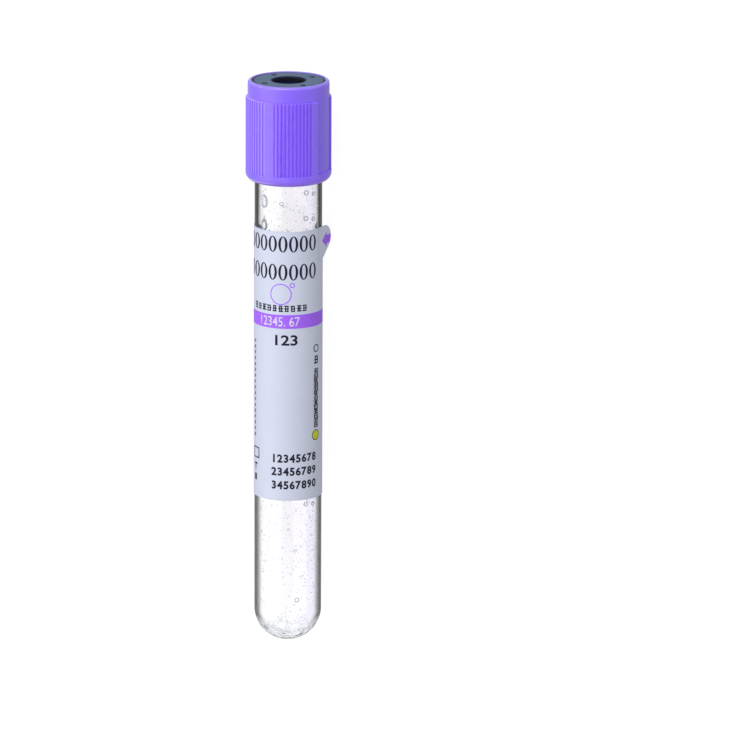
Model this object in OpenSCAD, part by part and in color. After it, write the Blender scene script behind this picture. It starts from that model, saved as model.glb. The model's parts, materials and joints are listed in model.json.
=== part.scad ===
// Vacuum blood collection tube with a push-on safety closure.
// The tube lies on its side: it rests on its round bottom and on the hem of the closure,
// with the front of its label up and the closure towards +Y.

/* [Tube] */
// Outside diameter of the tube
tube_od = 13; // [10:0.1:16]
// Length of the tube, from its round bottom to its rim
tube_length = 100; // [70:1:125]
// Wall of the tube
tube_wall = 1.1; // [0.8:0.05:1.4]
// Rounding of the rim's two edges
rim_round = 0.35; // [0.1:0.05:0.4]

/* [Cap] */
// Height of the cap
cap_height = 19.5; // [17:0.5:24]
// How far the cap stands above the tube's rim
cap_rise = 11; // [10:0.5:13]
// Wall of the cap at its neck
neck_wall = 0.75; // [0.6:0.05:1.2]
// Rounding of the crest round the opening
crest_round = 0.55; // [0.2:0.05:0.55]
// Rounding of the crest's inner edge
lip_round = 0.12; // [0.05:0.01:0.15]
// Height of the plain hem under the grip
hem_height = 2.1; // [1.8:0.1:3]
// Rounding of the hem's lower edge
hem_round = 1.5; // [0.8:0.1:1.8]
// How far the parting band round the hem stands out
band_proud = 0.03; // [0.02:0.01:0.2]
// Play between the tube and the ribs inside the cap
guide_fit = 0.1; // [0.05:0.05:0.3]
// Number of ribs inside the cap that centre it on the tube
guide_count = 8; // [4:1:12]
// Width of one inside rib
guide_w = 0.8; // [0.5:0.1:1.2]

/* [Grip] */
// How far the grip stands out from the neck
grip_step = 0.39; // [0.3:0.01:0.8]
// Height of the smooth neck above the grip
neck_height = 3.1; // [2:0.1:5]
// Rounding of the grip's upper edge
shoulder_round = 0.28; // [0.1:0.02:0.28]
// Grooves in each of the four runs
groove_count = 11; // [5:1:12]
// Angle from groove to groove
groove_pitch = 5; // [4.5:0.1:5.2]
// Depth of a groove
groove_depth = 0.33; // [0.15:0.01:0.36]
// Width of a groove at its mouth
groove_w = 0.42; // [0.25:0.01:0.44]
// Angle between the two grooves beside a middle pad
middle_pad = 17; // [10:1:22]
// Angle from the last groove to the recess
edge_pad = 12; // [6:1:14]
// Turn of the grip about the tube, from the front of the label
grip_turn = -26.5; // [-90:0.5:90]

/* [Stopper] */
// How far the stopper's head overhangs the tube's outside
head_overhang = 0.53; // [0.4:0.01:1.2]
// Thickness of the head, above the cap's inner ring
head_height = 2.4; // [1.6:0.1:3]
// Height of the channel that holds the cap's inner ring
channel_height = 2.2; // [1.4:0.1:2.6]
// Depth of that channel
channel_depth = 1; // [0.5:0.1:1.4]
// How far the head lies under the cap's crest
head_sink = 0.12; // [0:0.02:0.4]
// Play between the stopper and the cap
stopper_fit = 0.05; // [0.02:0.01:0.1]
// Rounding of the head's upper edge
head_round = 0.25; // [0.1:0.05:0.4]
// Diameter of the needle well
well_d = 6.1; // [4:0.1:7]
// Depth of the needle well
well_depth = 7.6; // [5:0.1:8.5]
// Rounding of the well's mouth
well_round = 0.42; // [0.1:0.02:0.6]
// Thickness of rubber that the needle goes through
septum = 3; // [2:0.1:4]
// Length of the plug inside the tube
plug_length = 8; // [6:0.5:12]
// Radial play of the plug's sealing rings in the tube
plug_fit = 0.05; // [0.02:0.01:0.1]
// How far the sealing rings stand out from the plug
seal_relief = 0.2; // [0.1:0.05:0.3]
// Diameter of the hollow in the plug
core_d = 6.4; // [4:0.1:7]
// Diameter of the four dimples in the head
dimple_d = 1.2; // [0.6:0.05:1.4]
// Depth of the dimples
dimple_depth = 0.8; // [0.3:0.1:1.2]
// Circle that the dimples lie on
dimple_circle = 10.6; // [9.5:0.1:11.5]
// Turn of the first dimple
dimple_turn = 32; // [0:1:89]

/* [Label] */
// Thickness of the label with its glue
label_t = 0.12; // [0.08:0.01:0.25]
// Height of the label
label_height = 53.2; // [30:0.2:60]
// From the tube's rim down to the label
label_drop = 17.4; // [12:0.2:30]
// Angle of the tube that the label covers
label_wrap = 225; // [200:5:340]
// Angle from the front to the label's free edge
label_end = 105; // [90:1:130]
// Angle from the front at which the peeling corner leaves the tube
peel_start = 62; // [45:1:80]
// Length of the peeling corner
peel_length = 4.9; // [3:0.1:6]
// Height of the strip that peels
peel_height = 6.4; // [5:0.2:9]

/* [Additive] */
// Size of the beads sprayed on the wall
bead_r = 0.34; // [0.2:0.02:0.5]
// Number of beads up the wall
bead_count = 44; // [10:1:60]
// Number of beads in the round bottom
foot_bead_count = 26; // [8:1:40]
// Play between a bead and the wall
bead_gap = 0.02; // [0.01:0.01:0.05]

/* [Hidden] */
$fn = 64;
eps = 0.01;
over = 1;

tube_r = tube_od / 2;
bore_r = tube_r - tube_wall;
closure_top = tube_length + cap_rise;
cap_bottom = closure_top - cap_height;

// the stopper, from its head down
head_r = tube_r + head_overhang;
head_top = closure_top - head_sink;
head_bottom = head_top - head_height;
flange_top = head_bottom - channel_height;
seat_gap = 0.02;
flange_bottom = tube_length + seat_gap;
plug_bottom = flange_bottom - plug_length;
channel_r = head_r - channel_depth;
seal_r = bore_r - plug_fit;
plug_r = seal_r - seal_relief;
seal_curve = 0.9;
plug_lead = 0.7;
well_r = well_d / 2;
well_floor = head_top - well_depth;
core_r = core_d / 2;
core_top = well_floor - septum;

// the cap, from the inside out
cap_bore_r = head_r + stopper_fit;
ring_r = channel_r + 2 * stopper_fit;
ring_lead = 0.35;
neck_r = cap_bore_r + neck_wall;
grip_r = neck_r + grip_step;
grip_top = closure_top - neck_height;
hem_top = cap_bottom + hem_height;
band_r = grip_r + band_proud;
band_bottom = cap_bottom + hem_round;
guide_r = tube_r + guide_fit;
guide_top = tube_length - 0.6;
guide_bottom = cap_bottom + 0.5;
groove_floor_r = max(grip_r - groove_depth, neck_r + eps);
groove_root_w = 0.72 * groove_w;
recess_angle = 180 - middle_pad - 2 * edge_pad - 2 * (groove_count - 1) * groove_pitch;

// the label and its peeling corner
label_top = tube_length - label_drop;
label_bottom = label_top - label_height;
peel_bottom = label_top - peel_height;
peel_round = 2.4;
peel_slope = 35;
peel_cut = 0.1;
peel_thinning = 0.02;
peel_root = 0.3;

// beads a little larger than the rest: angle from the front, height, size
large_beads = [
    [-52, 87.6, 0.95], [38, 89, 0.5], [58, 88.6, 0.45], [-12, 87, 0.5], [36, 84, 0.5],
    [57, 83.8, 0.45], [36, 26.8, 0.5], [55, 26.6, 0.45], [16, 8.2, 0.55], [4, 21.4, 0.45]
];
bead_sink = 0.3;
golden_angle = 137.508;
spray_bottom = 9;
spray_top = plug_bottom - 1.5;
foot_spread = 62;

// how it lies: the hem's parting band and the round bottom both touch the floor
contact_z = band_bottom - tube_r;
lie_tilt = atan2(band_r, contact_z) - asin(tube_r / norm([band_r, contact_z]));
lie_lift = tube_r - tube_r * sin(lie_tilt);
lie_back = tube_r * cos(lie_tilt) - tube_r;
lie_front = (closure_top - crest_round) * cos(lie_tilt)
    + (neck_r - crest_round) * sin(lie_tilt) + crest_round;

// ---- shared forms ----

// Lays an upright piece down, closure towards +Y and front up, centred over the origin.
module lying() {
    translate([0, -(lie_back + lie_front) / 2, lie_lift])
        rotate([lie_tilt - 90, 0, 0])
            children();
}

// Turns a piece drawn at the front (-Y) by an angle towards +X.
module at_angle(a) {
    rotate([0, 0, a]) children();
}

// What a corner at the origin loses when it is rounded; sx and sz give its side.
module corner_waste(r, sx, sz) {
    mirror([sx < 0 ? 1 : 0, 0]) mirror([0, sz < 0 ? 1 : 0])
        difference() {
            translate([-r, -r]) square(r + over);
            translate([-r, -r]) circle(r);
        }
}

// Half section of a round-bottomed vessel of radius r whose centre of the bottom is at tube_r.
module vessel_half(r, top) {
    intersection() {
        union() {
            translate([0, tube_r]) circle(r);
            translate([0, tube_r]) square([r, top - tube_r]);
        }
        square([r + over, top]);
    }
}

// ---- the tube ----

module tube() {
    color([0.93, 0.95, 0.98, 0.35]) lying() rotate_extrude()
        difference() {
            vessel_half(tube_r, tube_length);
            vessel_half(bore_r, tube_length + over);
            translate([tube_r, tube_length]) corner_waste(rim_round, 1, 1);
            translate([bore_r, tube_length]) corner_waste(rim_round, -1, 1);
        }
}

// ---- the stopper ----

module stopper_half() {
    difference() {
        union() {
            translate([0, head_bottom]) square([head_r, head_height]);
            translate([0, flange_top - over]) square([channel_r, channel_height + 2 * over]);
            translate([0, flange_bottom]) square([head_r, flange_top - flange_bottom]);
            translate([0, plug_bottom]) square([plug_r, plug_length + over]);
            for (z = [0.32, 0.68])
                translate([seal_r - seal_curve, plug_bottom + z * plug_length])
                    circle(seal_curve);
        }
        translate([head_r, head_top]) corner_waste(head_round, 1, 1);
        polygon([
            [plug_r - plug_lead, plug_bottom - eps], [plug_r + over, plug_bottom - eps],
            [plug_r + over, plug_bottom + 1.6 * plug_lead],
            [plug_r, plug_bottom + 1.6 * plug_lead]
        ]);
        translate([-over, well_floor]) square([well_r + over, well_depth + over]);
        translate([well_r, head_top]) corner_waste(well_round, -1, 1);
        translate([-over, plug_bottom - over]) square([core_r + over, core_top - plug_bottom]);
        translate([0, core_top - over]) polygon([
            [-over, -eps], [core_r, -eps], [core_r - over, over], [-over, over]
        ]);
    }
}

module stopper() {
    color([0.42, 0.47, 0.55]) lying() difference() {
        rotate_extrude() intersection() {
            stopper_half();
            translate([0, plug_bottom - over]) square([head_r + over, closure_top]);
        }
        for (i = [0:3])
            rotate([0, 0, dimple_turn + 90 * i])
                translate([dimple_circle / 2, 0, head_top - dimple_depth])
                    cylinder(d1 = 0.7 * dimple_d, d2 = dimple_d, h = dimple_depth + eps);
    }
}

// ---- the cap ----

module cap_half() {
    difference() {
        union() {
            difference() {
                translate([0, hem_top - over]) square([neck_r, closure_top - hem_top + over]);
                translate([neck_r, closure_top]) corner_waste(crest_round, 1, 1);
            }
            difference() {
                translate([0, hem_top - over]) square([grip_r, grip_top - hem_top + over]);
                translate([grip_r, grip_top]) corner_waste(shoulder_round, 1, 1);
            }
            difference() {
                translate([0, cap_bottom]) square([grip_r, hem_height]);
                translate([grip_r, cap_bottom]) corner_waste(hem_round, 1, -1);
            }
            translate([0, band_bottom]) square([band_r, hem_top - band_bottom]);
        }
        // the opening round the head, the ring in the stopper's channel, the bore below it
        translate([-over, head_bottom - stopper_fit]) square([cap_bore_r + over, cap_height]);
        translate([-over, cap_bottom - over]) square([ring_r + over, cap_height]);
        polygon([
            [0, cap_bottom - over], [cap_bore_r, cap_bottom - over],
            [cap_bore_r, flange_top + stopper_fit],
            [ring_r, flange_top + stopper_fit + ring_lead], [0, flange_top + stopper_fit]
        ]);
        translate([cap_bore_r, closure_top]) corner_waste(lip_round, -1, 1);
    }
}

// One groove, open upwards, with sides that flare to round off the ridges beside it.
module groove() {
    translate([0, 0, hem_top]) linear_extrude(grip_top - hem_top + over) union() {
        translate([0, -groove_floor_r - groove_root_w / 2]) circle(d = groove_root_w);
        polygon([
            [-groove_root_w / 2, -groove_floor_r - groove_root_w / 2],
            [-groove_w / 2 + 0.02, -grip_r + 0.09], [-groove_w / 2 - 0.05, -grip_r - 0.01],
            [-groove_w / 2 - 0.05, -grip_r - over], [groove_w / 2 + 0.05, -grip_r - over],
            [groove_w / 2 + 0.05, -grip_r - 0.01], [groove_w / 2 - 0.02, -grip_r + 0.09],
            [groove_root_w / 2, -groove_floor_r - groove_root_w / 2]
        ]);
    }
}

// One smooth recess between two grip fields, as deep as the neck.
module recess() {
    translate([0, 0, hem_top]) rotate([0, 0, -90 - recess_angle / 2])
        rotate_extrude(angle = recess_angle)
            translate([neck_r, 0]) square([grip_step + over, grip_top - hem_top + over]);
}

// The ribs inside that centre the cap on the tube.
module guide_rib() {
    difference() {
        translate([-guide_w / 2, -cap_bore_r - 0.2, guide_bottom])
            cube([guide_w, cap_bore_r + 0.2 - guide_r, guide_top - guide_bottom]);
        translate([-guide_w, -guide_r, guide_bottom - eps]) rotate([45, 0, 0])
            cube([2 * guide_w, 0.5, 0.5], center = true);
    }
}

module cap() {
    color([0.56, 0.46, 0.98]) lying() {
        difference() {
            rotate_extrude() cap_half();
            for (side = [0, 180]) {
                at_angle(grip_turn + side) for (run = [-1, 1], i = [0:groove_count - 1])
                    at_angle(run * (middle_pad / 2 + i * groove_pitch)) groove();
                at_angle(grip_turn + side + 90) recess();
            }
        }
        for (i = [0:guide_count - 1]) at_angle(360 * i / guide_count) guide_rib();
    }
}

// ---- the label ----

// A length of the label on the tube, from one angle to another.
module label_sector(from, to, z0, z1) {
    translate([0, 0, z0]) rotate([0, 0, from - 90]) rotate_extrude(angle = to - from)
        translate([tube_r, 0]) square([label_t, z1 - z0]);
}

// Outline of the peeling corner, laid flat: x along the tangent, y up to the label's top.
module peel_outline() {
    reach = peel_length - peel_round;
    slope_x = reach + peel_round * cos(peel_slope);
    slope_y = -peel_round - peel_round * sin(peel_slope);
    foot = -peel_height + peel_cut;
    run = (slope_y - foot) * tan(peel_slope);
    translate([-peel_root, foot]) square([reach + peel_root, -foot]);
    translate([reach, -peel_round]) circle(peel_round);
    polygon([[reach, -peel_round], [slope_x, slope_y], [slope_x - run, foot], [0, foot]]);
}

module label() {
    color([0.82, 0.85, 0.93]) lying() {
        label_sector(label_end - label_wrap, label_end, label_bottom, peel_bottom);
        label_sector(label_end - label_wrap, peel_start, peel_bottom, label_top);
        at_angle(peel_start) translate([0, -tube_r - peel_thinning, label_top])
            rotate([90, 0, 0]) linear_extrude(label_t - 2 * peel_thinning) peel_outline();
    }
}

// ---- the additive ----

// A bead of liquid that dried where it stood: a dome on the wall, drawn at the front of the bore.
module bead(r) {
    foot_r = r * sqrt(1 - pow(bead_sink, 2));
    translate([0, bead_gap - sqrt(pow(bore_r, 2) - pow(foot_r, 2)), 0]) rotate([-90, 0, 0])
        rotate_extrude() intersection() {
            translate([0, -bead_sink * r]) circle(r);
            square(2 * r);
        }
}

module additive() {
    spread = rands(0.7, 1.25, bead_count + foot_bead_count, 7);
    rise = (spray_top - spray_bottom) / bead_count;
    color([0.86, 0.88, 0.92, 0.6]) lying() {
        for (b = large_beads) at_angle(b[0]) translate([0, 0, b[1]]) bead(b[2]);
        for (i = [0:bead_count - 1])
            at_angle(i * golden_angle) translate([0, 0, spray_bottom + (i + 0.5) * rise])
                bead(bead_r * spread[i]);
        for (i = [0:foot_bead_count - 1])
            translate([0, 0, tube_r]) at_angle(i * golden_angle)
                rotate([90 - foot_spread * sqrt((i + 0.5) / foot_bead_count), 0, 0])
                    bead(1.3 * bead_r * spread[bead_count + i]);
    }
}

tube();
stopper();
cap();
label();
additive();
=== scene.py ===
import json
from math import asin, atan2, cos, degrees, pi, radians, sin
from random import Random

import bmesh
import bpy
from mathutils import Matrix, Vector


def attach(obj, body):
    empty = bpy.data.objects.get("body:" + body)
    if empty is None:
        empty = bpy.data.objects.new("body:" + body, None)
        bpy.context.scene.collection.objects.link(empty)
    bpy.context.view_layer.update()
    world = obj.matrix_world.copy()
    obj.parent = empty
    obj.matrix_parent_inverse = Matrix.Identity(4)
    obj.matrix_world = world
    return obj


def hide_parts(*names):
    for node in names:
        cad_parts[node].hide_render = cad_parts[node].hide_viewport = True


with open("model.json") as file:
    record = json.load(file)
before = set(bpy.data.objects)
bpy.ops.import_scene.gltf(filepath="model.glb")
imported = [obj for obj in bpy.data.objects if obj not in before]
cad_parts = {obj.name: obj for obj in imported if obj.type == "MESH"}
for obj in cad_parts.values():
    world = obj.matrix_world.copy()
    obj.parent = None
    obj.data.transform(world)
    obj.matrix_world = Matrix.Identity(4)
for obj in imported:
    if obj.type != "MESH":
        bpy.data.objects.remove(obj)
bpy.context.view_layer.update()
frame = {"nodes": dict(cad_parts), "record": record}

# ---- the camera ----
# A long lens looks down on the lying tube from its label side, a little from the closure's end.
# Sizes below are millimetres in the tube's own upright frame: foot at 0, closure up, label to -Y;
# `lay` takes that frame to the lying tube in metres. The tube's mount lies `rack_point` up from the foot.
mounts = {m["name"]: m for m in frame["record"]["mounts"]}
axis = Vector(mounts["needle_well"]["axis"])
rack_point = 18
foot = Vector(mounts["tube_body"]["pos_m"]) - axis * rack_point / 1000
lay = (Matrix.Translation(foot) @ Matrix.Rotation(atan2(axis.z, axis.y) - pi / 2, 4, "X")
       @ Matrix.Scale(0.001, 4))

view_tilt, roll, view_distance = radians(14.5), radians(0.25), 1600
aim = Vector((16.735, 0, 52.8))
camera_data = bpy.data.cameras.new("camera")
camera = bpy.data.objects.new("camera", camera_data)
bpy.context.collection.objects.link(camera)
away = Vector((0, -cos(view_tilt), sin(view_tilt)))
camera.matrix_world = (
    Matrix.Translation(lay @ (aim + view_distance * away))
    @ (lay.to_3x3().normalized() @ Matrix.Rotation(pi / 2 - view_tilt, 3, "X")
       @ Matrix.Rotation(roll, 3, "Z")).to_4x4())
camera_data.lens = 398.8
camera_data.clip_end = 10
bpy.context.scene.camera = camera

# ---- the floor and the light ----
# A white board under the tube, a broad soft lamp on the left, a smaller one beyond the closure, a weak
# one on the right and an even, dim room; board and room look white wherever they are seen.
def matte(name, color, roughness=0.5):
    material = bpy.data.materials.new(name)
    material.use_nodes = True
    nodes, links = material.node_tree.nodes, material.node_tree.links
    skin = nodes["Principled BSDF"]
    skin.inputs["Base Color"].default_value = (*color, 1)
    skin.inputs["Roughness"].default_value = roughness
    return material, nodes, links, skin


def finished(bm, name):
    """Ends the modelling of a shape and returns its mesh."""
    mesh = bpy.data.meshes.new(name)
    bm.to_mesh(mesh)
    bm.free()
    return mesh


def maths(nodes, kind, operation, second=None):
    """A Math or VectorMath node, with its second input set where one is given."""
    node = nodes.new("ShaderNode" + kind)
    node.operation = operation
    if second is not None:
        node.inputs[1].default_value = second
    return node


def seen_directly(nodes, links, reflected):
    """1 for camera and transmission rays, `reflected` for glossy ones, 0 for rays that light things."""
    path = nodes.new("ShaderNodeLightPath")
    total = path.outputs["Is Camera Ray"]
    for ray, share in (("Is Glossy Ray", reflected), ("Is Transmission Ray", 1)):
        part = maths(nodes, "Math", "MULTIPLY", share)
        links.new(path.outputs[ray], part.inputs[0])
        most = maths(nodes, "Math", "MAXIMUM")
        links.new(total, most.inputs[0])
        links.new(part.outputs[0], most.inputs[1])
        total = most.outputs[0]
    return total


board_half = 3
bm = bmesh.new()
bmesh.ops.create_grid(bm, x_segments=1, y_segments=1, size=board_half)
board = bpy.data.objects.new("floor", finished(bm, "floor"))
bpy.context.collection.objects.link(board)
board_white, nodes, links, skin = matte("floor_board", (0.24, 0.24, 0.245), 0.8)
skin.inputs["Specular IOR Level"].default_value = 0.1
glow = nodes.new("ShaderNodeEmission")
level = maths(nodes, "Math", "MULTIPLY", 0.88)
links.new(seen_directly(nodes, links, 0.4), level.inputs[0])
links.new(level.outputs[0], glow.inputs["Strength"])
both = nodes.new("ShaderNodeAddShader")
links.new(skin.outputs[0], both.inputs[0])
links.new(glow.outputs[0], both.inputs[1])
links.new(both.outputs[0], nodes["Material Output"].inputs["Surface"])
board.data.materials.append(board_white)

world = bpy.data.worlds.new("room")
world.use_nodes = True
nodes, links = world.node_tree.nodes, world.node_tree.links
room = nodes["Background"]
room.inputs["Color"].default_value = (0.97, 0.98, 1, 1)
room.inputs["Strength"].default_value = 0.55
white = nodes.new("ShaderNodeBackground")
white.inputs["Color"].default_value = (1, 1, 1, 1)
white.inputs["Strength"].default_value = 1
choose = nodes.new("ShaderNodeMixShader")
links.new(seen_directly(nodes, links, 0.9), choose.inputs["Fac"])
links.new(room.outputs[0], choose.inputs[1])
links.new(white.outputs[0], choose.inputs[2])
links.new(choose.outputs[0], nodes["World Output"].inputs["Surface"])
bpy.context.scene.world = world
bpy.context.scene.view_settings.view_transform = "Standard"


def softbox(name, place, size, power):
    lamp = bpy.data.lights.new(name, "AREA")
    lamp.size, lamp.energy = size, power
    stand = bpy.data.objects.new(name, lamp)
    stand.location = place
    stand.rotation_euler = (-Vector(place)).to_track_quat("-Z", "Y").to_euler()
    bpy.context.collection.objects.link(stand)


softbox("key_lamp", (-0.75, 0.0, 0.42), 1.3, 5.7)
softbox("top_lamp", (-0.25, 0.8, 0.5), 0.5, 4.0)
softbox("rim_lamp", (0.6, 0.2, 0.2), 0.25, 0.4)

# ---- the tube ----
# A clear plastic tube moulded in one piece, round-bottomed and open at the closure's end.
# Its wall is painted grey towards the outline, as shade for the dark surroundings that a clear wall shows
# there; froth clouds its foot, and handling left faint smears.
tube_r, wall, tube_length, rim_round = 6.5, 1.1, 100, 0.35
bore_r = tube_r - wall
skin_gap = 0.01

# Height runs up from the foot, Radius out from the spine, which ends in the round bottom's centre,
# and Side across to the right; all in millimetres.
on_tube = bpy.data.node_groups.new("place_on_tube", "ShaderNodeTree")
for name in ("Height", "Radius", "Side"):
    on_tube.interface.new_socket(name, in_out="OUTPUT", socket_type="NodeSocketFloat")
coords = on_tube.nodes.new("ShaderNodeTexCoord")
offset = maths(on_tube.nodes, "VectorMath", "SUBTRACT", foot)
along = maths(on_tube.nodes, "VectorMath", "DOT_PRODUCT", 1000 * axis)
across = maths(on_tube.nodes, "VectorMath", "CROSS_PRODUCT", 1000 * axis)
right = maths(on_tube.nodes, "VectorMath", "DOT_PRODUCT", (1000, 0, 0))
reach = maths(on_tube.nodes, "VectorMath", "LENGTH")
above_centre = maths(on_tube.nodes, "Math", "SUBTRACT", tube_r)
below = maths(on_tube.nodes, "Math", "MINIMUM", 0)
pair = on_tube.nodes.new("ShaderNodeCombineXYZ")
from_spine = maths(on_tube.nodes, "VectorMath", "LENGTH")
answer = on_tube.nodes.new("NodeGroupOutput")
on_tube.links.new(coords.outputs["Object"], offset.inputs[0])
for node in (along, across, right):
    on_tube.links.new(offset.outputs[0], node.inputs[0])
on_tube.links.new(across.outputs[0], reach.inputs[0])
on_tube.links.new(along.outputs["Value"], above_centre.inputs[0])
on_tube.links.new(above_centre.outputs[0], below.inputs[0])
on_tube.links.new(reach.outputs["Value"], pair.inputs["X"])
on_tube.links.new(below.outputs[0], pair.inputs["Y"])
on_tube.links.new(pair.outputs[0], from_spine.inputs[0])
on_tube.links.new(along.outputs["Value"], answer.inputs["Height"])
on_tube.links.new(from_spine.outputs["Value"], answer.inputs["Radius"])
on_tube.links.new(right.outputs["Value"], answer.inputs["Side"])


def locate(nodes):
    spot = nodes.new("ShaderNodeGroup")
    spot.node_tree = on_tube
    return spot


def ramp(nodes, links, value, low, high, stops):
    """Colours a value from low to high; stops are (value, colour)."""
    span = nodes.new("ShaderNodeMapRange")
    span.inputs["From Min"].default_value, span.inputs["From Max"].default_value = low, high
    links.new(value, span.inputs["Value"])
    scale = nodes.new("ShaderNodeValToRGB")
    while len(scale.color_ramp.elements) < len(stops):
        scale.color_ramp.elements.new(0.5)
    for element, (position, color) in zip(scale.color_ramp.elements, stops):
        element.position = (position - low) / (high - low)
        element.color = (*color, 1)
    links.new(span.outputs[0], scale.inputs[0])
    return scale.outputs["Color"]


def mixed(nodes, links, kind, factor, a, b):
    """Mixes two colours, each a socket or a plain colour; the factor is a socket or a number."""
    mix = nodes.new("ShaderNodeMix")
    mix.data_type, mix.blend_type = "RGBA", kind
    for socket, value in zip([s for s in mix.inputs if s.enabled], (factor, a, b)):
        if isinstance(value, bpy.types.NodeSocket):
            links.new(value, socket)
        elif isinstance(value, tuple):
            socket.default_value = (*value, 1)
        else:
            socket.default_value = value
    return [s for s in mix.outputs if s.enabled][0]


def noise(nodes, links, scale, detail=3):
    coords = nodes.new("ShaderNodeTexCoord")
    cloud = nodes.new("ShaderNodeTexNoise")
    cloud.inputs["Scale"].default_value = scale
    cloud.inputs["Detail"].default_value = detail
    links.new(coords.outputs["Object"], cloud.inputs["Vector"])
    return cloud.outputs["Fac"]


def grey(level):
    return (level, level, level)


def bumped(nodes, links, skin, height, strength, distance):
    """Gives a surface relief from a height that runs from 0 to 1."""
    relief = nodes.new("ShaderNodeBump")
    relief.inputs["Strength"].default_value = strength
    relief.inputs["Distance"].default_value = distance
    links.new(height, relief.inputs["Height"])
    links.new(relief.outputs[0], skin.inputs["Normal"])


def clear_plastic(name, roughness, stops):
    """Clear plastic; stops colour it by how far it turns from the eye, 0 facing and 1 edge-on.
    Grey stops towards the edge-on end are painted shade for the dark surroundings seen at its outline.
    """
    material, nodes, links, skin = matte(name, stops[0][1], roughness)
    skin.inputs["Transmission Weight"].default_value = 1
    skin.inputs["IOR"].default_value = 1.5
    turned_away = nodes.new("ShaderNodeLayerWeight")
    turned_away.inputs["Blend"].default_value = 0.5
    color = ramp(nodes, links, turned_away.outputs["Facing"], 0, 1, stops)
    links.new(color, skin.inputs["Base Color"])
    path = nodes.new("ShaderNodeLightPath")
    let_through = nodes.new("ShaderNodeBsdfTransparent")
    let_through.inputs["Color"].default_value = (0.985, 0.985, 0.99, 1)
    mix = nodes.new("ShaderNodeMixShader")
    links.new(path.outputs["Is Shadow Ray"], mix.inputs["Fac"])
    links.new(skin.outputs[0], mix.inputs[1])
    links.new(let_through.outputs[0], mix.inputs[2])
    links.new(mix.outputs[0], nodes["Material Output"].inputs["Surface"])
    return material, nodes, links, skin, color


def place(bm, name, material, body, slot):
    """Lays a finished mesh down and makes it a piece that rides on a body."""
    bmesh.ops.transform(bm, matrix=lay, verts=bm.verts)
    piece = bpy.data.objects.new(name, finished(bm, name))
    bpy.context.collection.objects.link(piece)
    piece.data.materials.append(material)
    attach(piece, body)
    return piece


def turned(corners, steps):
    """A closed body turned from a profile: each corner is its radius, its height and its rounding."""
    bm = bmesh.new()
    verts = [bm.verts.new((r, 0, z)) for r, z, _ in corners]
    for a, b in zip(verts, verts[1:]):
        bm.edges.new((a, b))
    for vert, (_, _, rounding) in zip(verts, corners):
        if rounding:
            bmesh.ops.bevel(bm, geom=[vert], offset=rounding, segments=round(rounding * 4) + 4,
                            profile=0.5, affect="VERTICES", material=-1)
    bmesh.ops.spin(bm, geom=bm.verts[:] + bm.edges[:], cent=(0, 0, 0), axis=(0, 0, 1),
                   angle=2 * pi, steps=steps, use_merge=True)
    bmesh.ops.remove_doubles(bm, verts=bm.verts, dist=0.001)
    bmesh.ops.recalc_face_normals(bm, faces=bm.faces)
    for face in bm.faces:
        face.smooth = True
    return bm


# Painted shade: the grey stops darken the wall towards its outline.
tube_plastic, nodes, links, skin, edge = clear_plastic("tube_plastic", 0.02, [
    (0.0, (0.985, 0.98, 0.99)), (0.32, (0.985, 0.98, 0.99)), (0.395, grey(0.86)), (0.436, grey(0.58)),
    (0.483, grey(0.24)), (0.536, grey(0.09)), (0.60, grey(0.03)), (0.68, grey(0.002))])
turned_away = nodes.new("ShaderNodeLayerWeight")
spot = locate(nodes)
outside = ramp(nodes, links, spot.outputs["Radius"], 0, 7, [(5.6, grey(0)), (5.7, grey(1))])
round_foot = ramp(nodes, links, spot.outputs["Height"], 0, 10, [(2.6, grey(1)), (5.2, grey(0))])
# At the foot that painted shade is fainter, and the froth's bubbles are laid over it.
faint = ramp(nodes, links, turned_away.outputs["Facing"], 0, 1, [
    (0.6, grey(1)), (0.8, (0.93, 0.94, 0.95)), (0.95, (0.62, 0.65, 0.68))])
bubbles = nodes.new("ShaderNodeTexVoronoi")
bubbles.inputs["Scale"].default_value = 720
links.new(nodes.new("ShaderNodeTexCoord").outputs["Object"], bubbles.inputs["Vector"])
foam = ramp(nodes, links, bubbles.outputs["Distance"], 0, 1, [
    (0.22, grey(1)), (0.3, (0.58, 0.64, 0.68)), (0.45, (0.72, 0.76, 0.79)), (0.6, (0.92, 0.93, 0.94))])
film = ramp(nodes, links, spot.outputs["Height"], 0, 10, [
    (0.4, grey(0.6)), (2.6, grey(1)), (3.8, grey(0.7)), (5.0, grey(0))])
faint = mixed(nodes, links, "MULTIPLY", film, faint, foam)
edge = mixed(nodes, links, "MIX", round_foot, edge, faint)
edge = mixed(nodes, links, "MIX", outside, (0.985, 0.98, 0.99), edge)
# Painted light: a faint violet cast over the wall, strongest towards the right side.
painted_side_light = ramp(nodes, links, spot.outputs["Side"], -6.5, 6.5, [
    (-2, (0.986, 0.985, 0.988)), (0.9, (0.983, 0.977, 0.99)), (3.3, (0.97, 0.955, 0.99)),
    (4.2, (0.94, 0.925, 0.975)), (5.1, (0.89, 0.89, 0.945)), (5.7, (0.94, 0.94, 0.965))])
links.new(mixed(nodes, links, "MULTIPLY", 1.0, edge, painted_side_light), skin.inputs["Base Color"])
bumped(nodes, links, skin, mixed(nodes, links, "MULTIPLY", 1.0, foam, film), 0.2, 0.0004)
smear = ramp(nodes, links, noise(nodes, links, 120, 4), 0, 1, [(0.5, grey(0.012)), (0.75, grey(0.05))])
links.new(smear, skin.inputs["Roughness"])
bm = turned([(0, 0, 0), (tube_r - skin_gap, 0, tube_r - 0.02), (tube_r - skin_gap, tube_length, rim_round),
             (bore_r, tube_length, rim_round), (bore_r, wall, bore_r - 0.02), (0, wall, 0)], 144)
tube = place(bm, "tube_wall", tube_plastic, "vessel", "clear_plastic")
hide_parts("tube")
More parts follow.
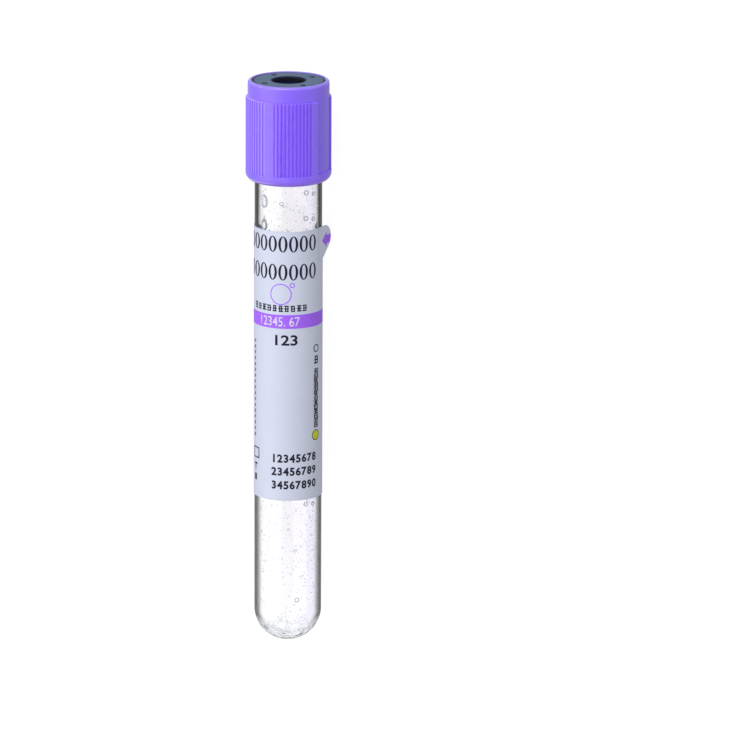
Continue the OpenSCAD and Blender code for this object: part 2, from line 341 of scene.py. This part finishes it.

# ---- the stopper and the cap ----
# The moulded rubber stopper and the moulded cap keep their CAD shapes and get their finishes: dull
# rubber with a dusty bloom and painted shade where it is deep and round its edges, and glossy violet
# plastic rubbed at its edges, with a painted highlight on its crest and ridges and painted light in its
# grooves.
grained = bpy.data.node_groups.new("moulded_skin", "ShaderNodeTree")
for name, kind in (("Grain", "Float"), ("Light", "Color"), ("Dark", "Color"), ("Rub_and_Highlight", "Float")):
    grained.interface.new_socket(name, in_out="INPUT", socket_type="NodeSocket" + kind)
for name, kind in (("Color", "Color"), ("Gloss", "Float"), ("Height", "Float")):
    grained.interface.new_socket(name, in_out="OUTPUT", socket_type="NodeSocket" + kind)
asked, answer = grained.nodes.new("NodeGroupInput"), grained.nodes.new("NodeGroupOutput")
flow = noise(grained.nodes, grained.links, 180, 3)
scuff = noise(grained.nodes, grained.links, 700, 5)
pores = grained.nodes.new("ShaderNodeTexNoise")
grained.links.new(asked.outputs["Grain"], pores.inputs["Scale"])
coords = grained.nodes.new("ShaderNodeTexCoord")
grained.links.new(coords.outputs["Object"], pores.inputs["Vector"])
body_color = mixed(grained.nodes, grained.links, "MIX", flow, asked.outputs["Dark"], asked.outputs["Light"])
# This pales scuffed specks of the colour by the amount asked for; the cap asks for it on its crest and ridge
# tops as a painted highlight.
rubbed = ramp(grained.nodes, grained.links, scuff, 0, 1, [(0.52, grey(0)), (0.66, grey(1))])
amount = mixed(grained.nodes, grained.links, "MULTIPLY", 1.0, rubbed, asked.outputs["Rub_and_Highlight"])
pale = mixed(grained.nodes, grained.links, "MIX", 0.35, asked.outputs["Light"], grey(0.85))
rub_and_highlight_color = mixed(grained.nodes, grained.links, "MIX", amount, body_color, pale)
grained.links.new(rub_and_highlight_color, answer.inputs["Color"])
grained.links.new(scuff, answer.inputs["Gloss"])
grained.links.new(pores.outputs["Fac"], answer.inputs["Height"])


def moulded(name, light, dark, roughness, grain, bump):
    """A moulded finish between two shades, with pores of the given grain and depth."""
    material, nodes, links, skin = matte(name, light, roughness)
    surface = nodes.new("ShaderNodeGroup")
    surface.node_tree = grained
    surface.inputs["Grain"].default_value = grain
    surface.inputs["Light"].default_value = (*light, 1)
    surface.inputs["Dark"].default_value = (*dark, 1)
    sheen = ramp(nodes, links, surface.outputs["Gloss"], 0, 1,
                 [(0.3, grey(roughness - 0.05)), (0.7, grey(roughness + 0.07))])
    links.new(sheen, skin.inputs["Roughness"])
    bumped(nodes, links, skin, surface.outputs["Height"], bump, 0.0001)
    return material, nodes, links, skin, surface


rubber, nodes, links, skin, surface = moulded(
    "stopper_rubber", (0.15, 0.215, 0.335), (0.10, 0.15, 0.245), 0.65, 2500, 0.4)
skin.inputs["Specular IOR Level"].default_value = 0.2
spot = locate(nodes)
# Painted shade: the rubber darkens down the well and in the dimples, with a lighter band on the well's wall,
# and darkens round the well's mouth and at the head's outer edge.
depth = ramp(nodes, links, spot.outputs["Height"], 101, 111, [
    (102.6, grey(1)), (103.2, (0.03, 0.03, 0.07)), (107, (0.10, 0.10, 0.24)),
    (109.7, (0.32, 0.33, 0.60)), (110.0, (0.10, 0.10, 0.16)), (110.72, (0.10, 0.10, 0.16)),
    (110.83, grey(0.25)), (110.878, grey(1))])
painted_mouth_and_rim_shade = ramp(nodes, links, spot.outputs["Radius"], 0, 8, [
    (3.4, (0.22, 0.24, 0.36)), (3.55, grey(1)), (6.5, grey(1)), (6.8, grey(0.08))])
color = mixed(nodes, links, "MULTIPLY", 1.0, surface.outputs["Color"], depth)
links.new(mixed(nodes, links, "MULTIPLY", 1.0, color, painted_mouth_and_rim_shade), skin.inputs["Base Color"])
frame["nodes"]["stopper"].data.materials.clear()
frame["nodes"]["stopper"].data.materials.append(rubber)

violet, nodes, links, skin, surface = moulded(
    "cap_violet", (0.225, 0.10, 0.97), (0.205, 0.09, 0.93), 0.42, 1400, 0.1)
spot = locate(nodes)
# Painted highlight: the top of the crest is mixed towards a pale violet, and the crest and the ridge tops
# take the pale rub.
crest_rub_and_highlight = ramp(nodes, links, spot.outputs["Height"], 90, 111, [(110.4, grey(0)), (110.95, grey(0.6))])
ridge_rub_and_highlight = ramp(nodes, links, spot.outputs["Radius"], 7, 9, [(8.0, grey(0.02)), (8.2, grey(0.1))])
links.new(mixed(nodes, links, "LIGHTEN", 1.0, crest_rub_and_highlight, ridge_rub_and_highlight), surface.inputs["Rub_and_Highlight"])
color = mixed(nodes, links, "MIX", crest_rub_and_highlight, surface.outputs["Color"], (0.36, 0.27, 1.0))
# Painted light in the grooves: their floors take a brighter, deeper violet than the body, paler towards the
# left where the key lamp stands.
groove = ramp(nodes, links, spot.outputs["Radius"], 7, 9, [
    (7.84, grey(0)), (7.90, grey(1)), (7.98, grey(1)), (8.16, grey(0))])
shade = ramp(nodes, links, spot.outputs["Side"], -9, 9, [
    (-8, (0.66, 0.52, 1.0)), (-4, (0.46, 0.30, 1.0)), (-1.5, (0.315, 0.10, 1.0)), (6, (0.30, 0.095, 1.0))])
links.new(mixed(nodes, links, "MIX", groove, color, shade), skin.inputs["Base Color"])
skin.inputs["Specular IOR Level"].default_value = 0.9
skin.inputs["Sheen Weight"].default_value = 0.35
skin.inputs["Sheen Roughness"].default_value = 0.5
skin.inputs["Subsurface Weight"].default_value = 0.15
skin.inputs["Subsurface Radius"].default_value = (1.0, 0.5, 1.0)
skin.inputs["Subsurface Scale"].default_value = 0.001
frame["nodes"]["cap"].data.materials.clear()
frame["nodes"]["cap"].data.materials.append(violet)

# ---- the additive ----
# Clear droplets of the additive that dried on the bore's wall, the large ones with a dark rim, and a froth
# of small white bubbles of it in the round bottom. The droplets' grey edges and the dark rims are painted
# shade for the dark outline that a clear bead shows.
# Painted shade: the grey edge-on stops darken these droplets towards their outlines.
dried, nodes, links, skin, edge = clear_plastic("dried_beads", 0.04, [
    (0.0, (0.99, 0.99, 0.99)), (0.60, (0.95, 0.96, 0.97)), (0.80, (0.50, 0.55, 0.60))])
skin.inputs["IOR"].default_value = 1.08
links.new(mixed(nodes, links, "MULTIPLY", 0.25, edge, ramp(
    nodes, links, noise(nodes, links, 900), 0, 1, [(0.35, (0.7, 0.78, 0.82)), (0.65, grey(1))])),
    skin.inputs["Base Color"])
# The same painted shade darkens the fine droplets towards their outlines.
froth, nodes, links, skin, edge = clear_plastic("froth", 0.05, [
    (0.0, (0.94, 0.96, 0.97)), (0.35, (0.80, 0.84, 0.86)), (0.60, (0.34, 0.39, 0.43)),
    (0.90, (0.12, 0.15, 0.18))])
links.new(mixed(nodes, links, "MULTIPLY", 0.2, edge, ramp(
    nodes, links, noise(nodes, links, 1200), 0, 1, [(0.35, (0.75, 0.82, 0.85)), (0.65, grey(1))])),
    skin.inputs["Base Color"])
bubble_white, nodes, links, skin = matte("foam", (0.93, 0.95, 0.97), 0.25)
bubble_tone = ramp(nodes, links, noise(nodes, links, 2500), 0, 1, [
    (0.36, (0.56, 0.63, 0.67)), (0.62, (0.95, 0.97, 0.98))])
links.new(bubble_tone, skin.inputs["Base Color"])
# Painted shade: dark rings round the large droplets' feet stand for a clear bead's dark outline.
bead_outline_shade, nodes, links, skin, edge = clear_plastic("bead_outline_shade", 0.05, [
    (0.0, (0.42, 0.48, 0.54)), (0.5, (0.22, 0.27, 0.32)), (1.0, (0.10, 0.13, 0.16))])
# Each large bead is its turn round the bore in degrees, its height and its radius.
large_beads = [(-59.5, 87.7, 1.25), (38, 89.8, 0.5), (58, 89.3, 0.45), (-13, 87.85, 0.42), (37, 84.75, 0.5),
               (57, 84.4, 0.45), (38, 28.2, 0.47), (57, 28.0, 0.42), (19, 9.2, 0.47), (2, 23.4, 0.28),
               (14.4, 19.1, 0.3), (-60, 82.95, 1.1)]
draw = Random(7)


def droplet(segments):
    """A unit droplet that stands off the wall towards +Y, its foot a little under y = 0."""
    bm = bmesh.new()
    bmesh.ops.create_uvsphere(bm, u_segments=segments, v_segments=segments // 2 + 1, radius=1)
    bmesh.ops.scale(bm, vec=(1, 0.5, 1), verts=bm.verts)
    bmesh.ops.scale(bm, vec=(1, 0.2, 1), verts=[v for v in bm.verts if v.co.y < -0.01])
    for face in bm.faces:
        face.smooth = True
    return finished(bm, "droplet")


def settle(pile, shape, turn, height, size, drop=0):
    """Puts a copy on the bore's wall, or `drop` degrees round the bottom from the straight wall."""
    foot_depth, clearance, wall_sag = 0.1 * size, 0.03, size * size / 11
    mesh = shape.copy()
    mesh.transform(Matrix.Rotation(radians(turn), 4, "Z") @ Matrix.Translation((0, 0, height))
                   @ Matrix.Rotation(radians(drop), 4, "X")
                   @ Matrix.Translation((0, foot_depth + clearance - bore_r + wall_sag, 0))
                   @ Matrix.Scale(size, 4))
    pile.from_mesh(mesh)
    bpy.data.meshes.remove(mesh)


def outline_ring(thick):
    """A unit ring for a droplet's foot, which carries painted shade for the dark outline of a clear bead."""
    bm = bmesh.new()
    bmesh.ops.create_circle(bm, segments=8, radius=thick, matrix=Matrix.Translation((1 - thick, 0, 0)))
    bmesh.ops.spin(bm, geom=bm.verts[:] + bm.edges[:], cent=(0, 0, 0), axis=(0, 1, 0),
                   angle=2 * pi, steps=28, use_merge=True)
    bmesh.ops.remove_doubles(bm, verts=bm.verts, dist=0.001)
    bmesh.ops.recalc_face_normals(bm, faces=bm.faces)
    for face in bm.faces:
        face.smooth = True
    return finished(bm, "rim")


fine_count, foam_count = 1700, 130
big, small, rim, fine_rim = droplet(20), droplet(8), outline_ring(0.17), outline_ring(0.1)
pile = bmesh.new()
for turn, height, size in large_beads:
    settle(pile, big, turn, height, size)
beads = place(pile, "dried_droplets", dried, "vessel", "clear_liquid")
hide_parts("additive")
pile = bmesh.new()
for turn, height, size in large_beads:
    settle(pile, fine_rim if size > 0.7 else rim, turn, height, size)
place(pile, "bead_outline_rings", bead_outline_shade, "vessel", "clear_liquid")
pile = bmesh.new()
for i in range(fine_count):
    settle(pile, small, draw.uniform(-180, 180), draw.uniform(6.5, 91), 0.08 + 0.17 * draw.random() ** 3)
place(pile, "fine_droplets", froth, "vessel", "clear_liquid")
pile = bmesh.new()
for i in range(foam_count):
    settle(pile, small, draw.uniform(-180, 180), tube_r, 0.12 + 0.36 * draw.random() ** 2,
           degrees(asin(draw.uniform(0.6, 0.999))))
place(pile, "foam_in_foot", bubble_white, "vessel", "clear_liquid")
for shape in (big, small, rim, fine_rim):
    bpy.data.meshes.remove(shape)

# ---- the label ----
# A die-cut paper label, glued on its back and wrapped round the tube by machine. Its top corner
# beside the seam was never pressed down and lifts off in a flat piece.
label_t, label_height, label_top = 0.12, 53.2, 82.6
label_end, label_wrap, peel_start, peel_height, peel_length, peel_round = 105, 225, 62, 6.4, 4.9, 2.4
arc = radians(1) * tube_r


def wrapped(bm, on_corner=False):
    """Bends flat work round the tube: x runs along the wrap, y up from the label's top, z off the wall."""
    lift_off = radians(peel_start)
    for v in bm.verts:
        u, s, h = v.co
        r = tube_r + h
        if on_corner:
            run = u - lift_off * tube_r
            v.co = (r * sin(lift_off) + run * cos(lift_off), -r * cos(lift_off) + run * sin(lift_off),
                    label_top + s)
        else:
            v.co = (r * sin(u / tube_r), -r * cos(u / tube_r), label_top + s)


def raise_sheet(bm, low, high):
    """Gives flat faces a thickness, from one height off the wall to another."""
    for v in bm.verts:
        v.co.z = low
    top = bmesh.ops.extrude_face_region(bm, geom=bm.faces[:])["geom"]
    risen = [v for v in top if isinstance(v, bmesh.types.BMVert)]
    bmesh.ops.translate(bm, vec=(0, 0, high - low), verts=risen)
    bmesh.ops.recalc_face_normals(bm, faces=bm.faces)


def cut(bm, point, direction, clear=True):
    """Cuts along a plane and drops what lies ahead of it, unless told to keep it."""
    bmesh.ops.bisect_plane(bm, geom=bm.verts[:] + bm.edges[:] + bm.faces[:], plane_co=point,
                           plane_no=direction, clear_outer=clear)


def round_corner(bm, inset):
    """Trims flat work to the lifting corner's outline: its round end and the slope under it."""
    centre = Vector((peel_start * arc + peel_length - peel_round, -peel_round, 0))
    cuts, sweep = 12, 138
    for k in range(cuts + 1):
        turn = radians(90 - sweep * k / cuts)
        direction = Vector((cos(turn), sin(turn), 0))
        cut(bm, centre + (peel_round - inset) * direction, direction)


label_paper, nodes, links, skin = matte("label_paper", (0.62, 0.655, 0.785), 0.42)
skin.inputs["Specular IOR Level"].default_value = 0.3
tone = mixed(nodes, links, "MIX", noise(nodes, links, 260, 5), (0.595, 0.63, 0.76), (0.64, 0.675, 0.81))
spot = locate(nodes)
cut_edge = ramp(nodes, links, spot.outputs["Height"], label_top - label_height, label_top, [
    (label_top - label_height, grey(1)), (label_top - label_height + 0.5, grey(0)),
    (label_top - 0.4, grey(0)), (label_top, grey(1))])
handled = ramp(nodes, links, noise(nodes, links, 500, 4), 0, 1, [(0.4, grey(0.0)), (0.7, grey(0.55))])
soiled = mixed(nodes, links, "MULTIPLY", 1.0, cut_edge, handled)
links.new(mixed(nodes, links, "MIX", soiled, tone, (0.46, 0.48, 0.58)), skin.inputs["Base Color"])
bumped(nodes, links, skin, noise(nodes, links, 3000), 0.15, 0.00005)

bm = bmesh.new()
bmesh.ops.create_grid(bm, x_segments=90, y_segments=24, size=0.5,
                      matrix=Matrix.Translation(((label_end - label_wrap / 2) * arc, -label_height / 2, 0))
                      @ Matrix.Diagonal((label_wrap * arc, label_height, 1, 1)))
cut(bm, (peel_start * arc, 0, 0), (1, 0, 0), False)
cut(bm, (0, -peel_height, 0), (0, 1, 0), False)
corner = [f for f in bm.faces
          if f.calc_center_median().x > peel_start * arc and f.calc_center_median().y > -peel_height]
bmesh.ops.delete(bm, geom=corner, context="FACES")
raise_sheet(bm, 0, label_t)
wrapped(bm)
bm.normal_update()
for face in bm.faces:
    face.smooth = abs(face.normal.z) < 0.5
for edge in bm.edges:
    edge.smooth = all(face.smooth for face in edge.link_faces)
label = place(bm, "label_sheet", label_paper, "vessel", "label_paper")
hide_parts("label")

tucked_in, gap_below, thinner = 0.2, 0.02, 0.004
bm = bmesh.new()
bmesh.ops.create_grid(bm, x_segments=10, y_segments=10, size=0.5,
                      matrix=Matrix.Translation((peel_start * arc + (peel_length - tucked_in) / 2,
                                                 -(peel_height - gap_below) / 2, 0))
                      @ Matrix.Diagonal((peel_length + tucked_in, peel_height - gap_below, 1, 1)))
round_corner(bm, 0)
raise_sheet(bm, thinner, label_t - thinner)
wrapped(bm, True)
place(bm, "label_corner", label_paper, "vessel", "label_paper")

# ---- the print ----
# Inks printed on the label before it is wrapped: a violet band, ring and arrow, a yellow mark, and
# near-black figures and lines of type.
ink_low, ink_high, strip_width = label_t - 0.01, label_t + 0.014, 0.45


def ink(name, color, roughness=0.4):
    material, nodes, links, skin = matte(name, color, roughness)
    skin.inputs["Specular IOR Level"].default_value = 0.15
    tone = mixed(nodes, links, "MIX", noise(nodes, links, 1500), tuple(c * 0.88 for c in color),
                 tuple(min(1, c * 1.12) for c in color))
    links.new(tone, skin.inputs["Base Color"])
    return material


violet_ink = ink("violet_ink", (0.385, 0.135, 0.99))
dark_ink = ink("dark_ink", (0.012, 0.009, 0.028))
pale_ink = ink("pale_ink", (0.70, 0.66, 0.93))
yellow_ink = ink("yellow_ink", (0.58, 0.63, 0.03))


def printed(bm, name, material, on_corner=False, low=ink_low, high=ink_high):
    """Finishes flat print: strips narrow enough to follow the curve, a film's thickness, and its place."""
    if not on_corner:
        left = min(v.co.x for v in bm.verts)
        for k in range(1, int((max(v.co.x for v in bm.verts) - left) / strip_width) + 1):
            cut(bm, (left + strip_width * k, 0, 0), (1, 0, 0), False)
    raise_sheet(bm, low, high)
    wrapped(bm, on_corner)
    place(bm, name, material, "vessel", "label_paper")


def bar(bm, turn_from, turn_to, top, bottom):
    """A printed rectangle, from angle to angle and from one depth below the label's top to another."""
    middle = Matrix.Translation(((turn_from + turn_to) / 2 * arc, -(top + bottom) / 2, 0))
    bmesh.ops.create_grid(bm, x_segments=1, y_segments=1, size=0.5,
                          matrix=middle @ Matrix.Diagonal(((turn_to - turn_from) * arc, bottom - top, 1, 1)))


def add_flat(bm, flat, matrix):
    """Moves a finished flat shape into place and adds it to the rest."""
    bmesh.ops.transform(flat, matrix=matrix, verts=flat.verts)
    mesh = finished(flat, "flat")
    bm.from_mesh(mesh)
    bpy.data.meshes.remove(mesh)


def figures(bm, text, turn, depth, height, stretch, weight=0.0):
    """Adds a line of plain type as flat mesh, centred at an angle and a depth, `height` tall."""
    curve = bpy.data.curves.new("type", "FONT")
    curve.body, curve.size, curve.offset, curve.resolution_u = text, 1, weight, 4
    obj = bpy.data.objects.new("type", curve)
    flat = bmesh.new()
    flat.from_mesh(obj.to_mesh())
    obj.to_mesh_clear()
    bpy.data.objects.remove(obj)
    bpy.data.curves.remove(curve)
    xs, ys = [v.co.x for v in flat.verts], [v.co.y for v in flat.verts]
    k = height / (max(ys) - min(ys))
    add_flat(bm, flat, Matrix.Translation((turn * arc, -depth, 0)) @ Matrix.Diagonal((k * stretch, k, 1, 1))
             @ Matrix.Translation((-(min(xs) + max(xs)) / 2, -(min(ys) + max(ys)) / 2, 0)))


def hoop(bm, x, y, wide, tall, side, brow):
    """A printed ring or nought, heavy at its sides and fine above and below."""
    part = bmesh.new()
    for w, t in ((wide, tall), (wide - side, tall - brow)):
        bmesh.ops.create_circle(part, segments=28, radius=1,
                                matrix=Matrix.Translation((x, y, 0)) @ Matrix.Diagonal((w, t, 1, 1)))
    bmesh.ops.bridge_loops(part, edges=part.edges[:])
    add_flat(bm, part, Matrix.Identity(4))


def dense_type(bm, draw, turn, depth, wide, tall):
    """One small dense character of a line of type: a few crossed strokes, no real letter."""
    for k in range(3):
        y = depth + tall * (k / 2 - 0.5) + draw.uniform(-0.04, 0.04) * tall
        a, b = draw.uniform(-0.5, -0.3), draw.uniform(0.3, 0.5)
        bar(bm, turn + a * wide / arc, turn + b * wide / arc, y - 0.115 * tall, y + 0.115 * tall)
    for k in range(2):
        x = wide * (draw.uniform(0.1, 0.3) * (1 if k else -1))
        bar(bm, turn + (x - 0.1 * wide) / arc, turn + (x + 0.1 * wide) / arc,
            depth - tall * draw.uniform(0.4, 0.55), depth + tall * draw.uniform(0.4, 0.55))


noughts, nought_start, nought_step, nought_height = 8, -80, 17.9, 3.15
row_start, row_step, row_height = -23.5, 10.4, 1.65
side_type, left_type = 55, -71
# The number on its two tear-off strips, three rows of figures and the size, then the lines of type:
# one across, one down each side. A box and blocks stand at the lower left, an open ring at the right.
bm = bmesh.new()
for depth in (2.45, 7.95):
    for i in range(noughts):
        hoop(bm, (nought_start + nought_step * i) * arc, -depth, 0.28 * nought_height, 0.5 * nought_height,
             0.15 * nought_height, 0.06 * nought_height)
for text, depth in (("12345678", 44.8), ("23456789", 47.4), ("34567890", 50.1)):
    for i, figure in enumerate(text):
        figures(bm, figure, row_start + row_step * i, depth, row_height, 0.95, 0.038)
figures(bm, "123", -2.5, 21.35, 2.08, 1.22, 0.022)
for i in range(10):
    dense_type(bm, draw, -63.5 + 10.3 * i, 15.1, 1.05, 1.02)
for i in range(13):
    dense_type(bm, draw, side_type, 27.95 + 0.9 * i, 1.6, 0.7)
for i in range(17):
    dense_type(bm, draw, left_type, 22.4 + 1.16 * i, 0.8, 0.5)
dense_type(bm, draw, side_type, 25.75, 1.4, 1.3)
for edges_and_depths in (
        (-76, -56, 43.35, 43.6), (-76, -56, 45.3, 45.55), (-76, -73.6, 43.35, 45.55),
        (-58.2, -56, 43.35, 45.55), (-72, -62, 46.5, 46.85), (-69, -66.5, 46.5, 48.0),
        (-72, -64, 48.7, 50.0)):
    bar(bm, *edges_and_depths)
hoop(bm, side_type * arc, -23.5, 0.8, 0.78, 0.24, 0.2)
printed(bm, "figures_print", dark_ink)

bm = bmesh.new()
bar(bm, label_end - label_wrap, label_end, 16.35, 19.05)
printed(bm, "band_print", violet_ink)

bm = bmesh.new()
figures(bm, "12345. 67", -15, 17.7, 1.9, 0.82, 0.012)
printed(bm, "band_figures_print", pale_ink, low=ink_low, high=ink_high + 0.008)

bm = bmesh.new()
hoop(bm, -12 * arc, -12.3, 2.1, 2.1, 0.2, 0.2)
hoop(bm, 7.3 * arc, -10.5, 0.5, 0.5, 0.18, 0.18)
printed(bm, "ring_print", violet_ink)

arrow_x, arrow_depth, shaft_width = peel_start * arc + 2.6, 2.85, 1.6
bm = bmesh.new()
bmesh.ops.create_circle(bm, cap_ends=True, segments=3, radius=1)
bmesh.ops.transform(bm, matrix=Matrix.Translation((arrow_x, -arrow_depth, 0))
                    @ Matrix.Diagonal((1.2, 1.73, 1, 1)) @ Matrix.Rotation(pi / 2, 4, "Z"), verts=bm.verts)
bar(bm, (arrow_x + 0.6) / arc, peel_start + peel_length / arc,
    arrow_depth - shaft_width / 2, arrow_depth + shaft_width / 2)
round_corner(bm, 0.04)
printed(bm, "arrow_print", violet_ink, on_corner=True, low=label_t - 0.03, high=label_t + 0.008)

mark_turn, mark_depth = 54, 40.7
bm = bmesh.new()
bmesh.ops.create_circle(bm, cap_ends=True, segments=24, radius=0.95,
                        matrix=Matrix.Translation((mark_turn * arc, -mark_depth, 0)))
printed(bm, "yellow_print", yellow_ink)
bm = bmesh.new()
hoop(bm, mark_turn * arc, -mark_depth, 1.05, 1.05, 0.16, 0.16)
printed(bm, "yellow_edge_print", dark_ink, high=ink_high + 0.006)
